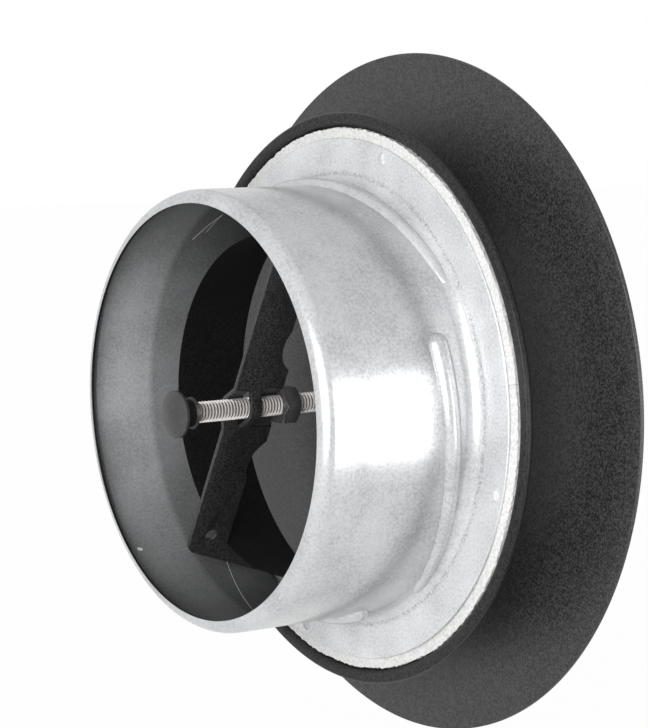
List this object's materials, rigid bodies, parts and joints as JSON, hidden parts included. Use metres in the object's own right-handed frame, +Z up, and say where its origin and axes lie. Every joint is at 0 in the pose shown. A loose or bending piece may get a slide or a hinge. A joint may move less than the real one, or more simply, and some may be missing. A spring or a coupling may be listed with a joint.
{
  "type": "ventilation disc valve with mounting collar",
  "caption": "Black exhaust air disc valve in its galvanised mounting collar, seen from the duct side, with foam seal, bridge bar, threaded rod and wide front disc",
  "frame": {"origin": "centre of the screw circle, on the back of the collar's flange where it meets the wall", "axes": "+Y along the valve's axis into the room, +Z up, +X across"},
  "size_m": [0.1982, 0.0848, 0.1982],
  "materials": {
    "galvanised_sheet": "hot-dip galvanised sheet, drawn, soft grey sheen",
    "foam": "white open-cell foam strip, matt",
    "black_coating": "black powder coat, fine orange peel, low sheen",
    "zinc_steel": "zinc-plated steel",
    "black_plastic": "moulded black plastic, soft sheen"
  },
  "bodies": {
    "collar": {"mounting_collar": "galvanised_sheet"},
    "seal": {"seal_ring": "foam"},
    "valve": {"valve_ring": "black_coating", "bridge_bar": "black_coating"},
    "nut": {"lock_nut": "zinc_steel"},
    "rod": {"threaded_rod": "zinc_steel", "rod_cap": "black_plastic"},
    "disc": {"front_disc": "black_coating", "disc_boss": "zinc_steel", "disc_nut": "zinc_steel"}
  },
  "joints": [
    {"name": "valve_travel", "type": "slide", "parent": "collar", "child": "seal", "axis": [0, 1, 0], "range_m": [0, 0.004]},
    {"name": "valve_turn", "type": "hinge", "parent": "seal", "child": "valve", "pos_m": [0, 0, 0], "axis": [0, 1, 0], "range_deg": [0, 24]},
    {"name": "lock_nut_turn", "type": "hinge", "parent": "valve", "child": "nut", "pos_m": [0, 0, 0], "axis": [0, 1, 0], "range_deg": [-180, 0]},
    {"name": "disc_travel", "type": "slide", "parent": "valve", "child": "rod", "axis": [0, 1, 0], "range_m": [-0.0185, 0.0112]},
    {"name": "disc_turn", "type": "hinge", "parent": "rod", "child": "disc", "pos_m": [0, 0, 0], "axis": [0, 1, 0], "range_deg": [-6661, 4033]}
  ],
  "couplings": [
    {"joint": "valve_travel", "follows": "valve_turn", "m_per_rad": 0.00936},
    {"joint": "disc_turn", "follows": "disc_travel", "rad_per_m": 6283.2}
  ]
}
